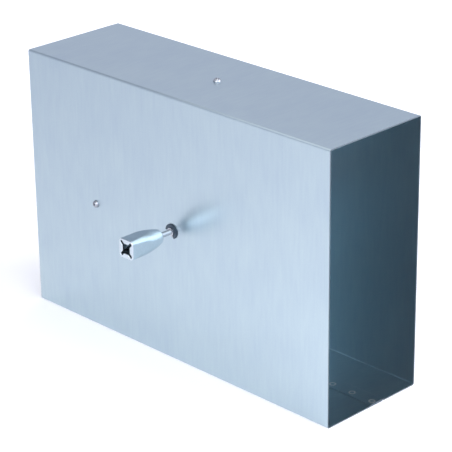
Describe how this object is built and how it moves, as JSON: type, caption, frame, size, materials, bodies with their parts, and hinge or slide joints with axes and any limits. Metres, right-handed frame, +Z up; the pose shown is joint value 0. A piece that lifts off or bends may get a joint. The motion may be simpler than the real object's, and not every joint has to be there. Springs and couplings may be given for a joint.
{
  "type": "volume control damper",
  "caption": "Flat rectangular duct sleeve of galvanised sheet with one centre-pivoted blade, turned by a square-mouthed drive socket on the front.",
  "frame": {"origin": "middle of the underside of the sleeve", "axes": "+X along the duct, -Y out of the wall with the drive socket, +Z up"},
  "size_m": [0.3, 0.1349, 0.2038],
  "materials": {
    "galvanised_sheet": "hot-dip galvanised, smooth, with a fine rolled grain round the girth",
    "polished_zinc": "bright polished die casting",
    "bright_steel": "bright drawn",
    "black_spring_steel": "black oxide",
    "zinc_plated_steel": "bright zinc plate",
    "nylon": "natural, moulded"
  },
  "bodies": {
    "sleeve": {"sleeve": "galvanised_sheet", "front_bush": "nylon", "rear_bush": "nylon", "top_stop_screw": "zinc_plated_steel", "side_stop_screw": "zinc_plated_steel"},
    "blade": {"blade": "galvanised_sheet", "spindle": "bright_steel", "front_clip": "black_spring_steel", "rear_clip": "black_spring_steel", "front_thrust_washer": "zinc_plated_steel", "rear_thrust_washer": "zinc_plated_steel", "spring_washer": "black_spring_steel", "front_saddle": "zinc_plated_steel", "rear_saddle": "zinc_plated_steel", "front_saddle_rivets": "zinc_plated_steel", "rear_saddle_rivets": "zinc_plated_steel", "drive_socket": "polished_zinc"}
  },
  "joints": [
    {"name": "blade_turn", "type": "hinge", "parent": "sleeve", "child": "blade", "pos_m": [0, 0, 0.1008], "axis": [0, -1, 0], "range_deg": [0, 90]}
  ]
}
